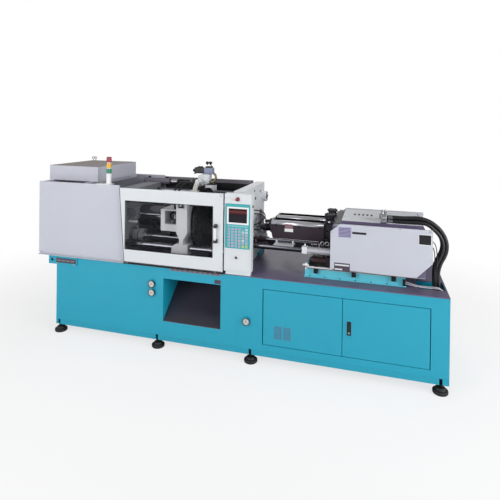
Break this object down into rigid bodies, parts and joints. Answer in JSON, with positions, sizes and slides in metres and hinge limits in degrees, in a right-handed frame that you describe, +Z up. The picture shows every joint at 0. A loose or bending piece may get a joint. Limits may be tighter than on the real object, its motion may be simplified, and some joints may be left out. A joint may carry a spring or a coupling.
{
  "type": "two-color injection molding machine",
  "caption": "Horizontal injection molding machine with two parallel barrels, a rotary table clamp, a sliding guard door and a cabinet base.",
  "frame": {"origin": "floor centre of the machine, under the middle of its length and width", "axes": "+X along the machine from the clamp end to the injection end, +Y to the rear, +Z up; the operator side with the sliding door faces -Y"},
  "size_m": [4.791, 1.332, 2.182],
  "materials": {
    "teal_paint": "semi-gloss teal enamel",
    "deck_plate": "satin mauve grey paint",
    "dark_steel": "satin black paint",
    "black_rubber": "moulded rubber over steel",
    "grey_plastic": "matte moulded",
    "black_plastic": "matte moulded",
    "gauge_dial": "dark bezel with a white dial",
    "pale_paint": "semi-gloss pale lavender grey enamel",
    "white_paint": "semi-gloss off-white enamel",
    "lamp_plastic": "white base with green, amber and red lenses",
    "clear_sheet": "clear safety sheet",
    "bright_steel": "machined",
    "guard_grey": "satin grey paint",
    "keypad_film": "teal film with a pale bezel and a dark screen",
    "key_film": "pale printed keys",
    "red_plastic": "red and black knobs",
    "casting": "painted casting",
    "chrome_rod": "ground and chromed",
    "heater_brown": "glossy dark brown enamel",
    "hose_rubber": "hydraulic hose rubber"
  },
  "bodies": {
    "machine": {"clamp_bed": "teal_paint", "injection_bed": "teal_paint", "base_rail_front": "teal_paint", "base_rail_rear": "teal_paint", "levelling_feet": "black_rubber", "lifting_lugs": "teal_paint", "deck": "deck_plate", "chute": "dark_steel", "pressure_gauges": "gauge_dial", "door_rails": "dark_steel", "clamp_cover_front": "pale_paint", "clamp_cover_rear": "pale_paint", "clamp_cover_end": "pale_paint", "top_housing": "pale_paint", "tower_lamp": "lamp_plastic", "rear_guard": "guard_grey", "rear_guard_window": "clear_sheet", "control_column": "white_paint", "control_panel": "keypad_film", "panel_keys": "key_film", "panel_knobs": "red_plastic", "fixed_platen": "white_paint", "platen_blocks": "teal_paint", "rear_platen": "casting", "tie_bars": "chrome_rod", "tie_bar_nuts": "bright_steel", "clamp_cylinders": "casting", "injection_base": "teal_paint", "injection_guide_rods": "chrome_rod", "drip_trays": "pale_paint"},
    "front_guard_door": {"front_guard_door": "white_paint", "door_window": "clear_sheet", "door_handle": "black_plastic", "door_wheels": "bright_steel"},
    "moving_platen": {"moving_platen": "casting", "ram_and_rods": "chrome_rod", "ejector_box": "casting", "valve_block": "bright_steel"},
    "rotary_table": {"rotary_table": "bright_steel"},
    "injection_unit": {"injection_carriage": "dark_steel", "injection_housing": "deck_plate", "injection_cover_front": "pale_paint", "injection_cover_rear": "pale_paint", "barrels": "dark_steel", "heater_covers": "heater_brown", "feed_throats": "dark_steel", "injection_cylinders": "white_paint", "hose_manifold": "bright_steel", "injection_hoses": "hose_rubber"},
    "cabinet_door_left": {"cabinet_door_left": "teal_paint", "cabinet_louvres": "grey_plastic"},
    "cabinet_door_right": {"cabinet_door_right": "teal_paint", "cabinet_latch": "black_plastic"}
  },
  "joints": [
    {"name": "front_door_slide", "type": "slide", "parent": "machine", "child": "front_guard_door", "axis": [-1, 0, 0], "range_m": [0, 1.1]},
    {"name": "clamp_slide", "type": "slide", "parent": "machine", "child": "moving_platen", "axis": [1, 0, 0], "range_m": [-0.3, 0.3]},
    {"name": "table_turn", "type": "hinge", "parent": "moving_platen", "child": "rotary_table", "pos_m": [-0.415, 0, 1.395], "axis": [1, 0, 0], "range_deg": [0, 180]},
    {"name": "injection_slide", "type": "slide", "parent": "machine", "child": "injection_unit", "axis": [-1, 0, 0], "range_m": [0, 0.15]},
    {"name": "cabinet_door_left_hinge", "type": "hinge", "parent": "machine", "child": "cabinet_door_left", "pos_m": [0.541, -0.59, 0.225], "axis": [0, 0, -1], "range_deg": [0, 90]},
    {"name": "cabinet_door_right_hinge", "type": "hinge", "parent": "machine", "child": "cabinet_door_right", "pos_m": [2.199, -0.59, 0.225], "axis": [0, 0, 1], "range_deg": [0, 90]}
  ]
}
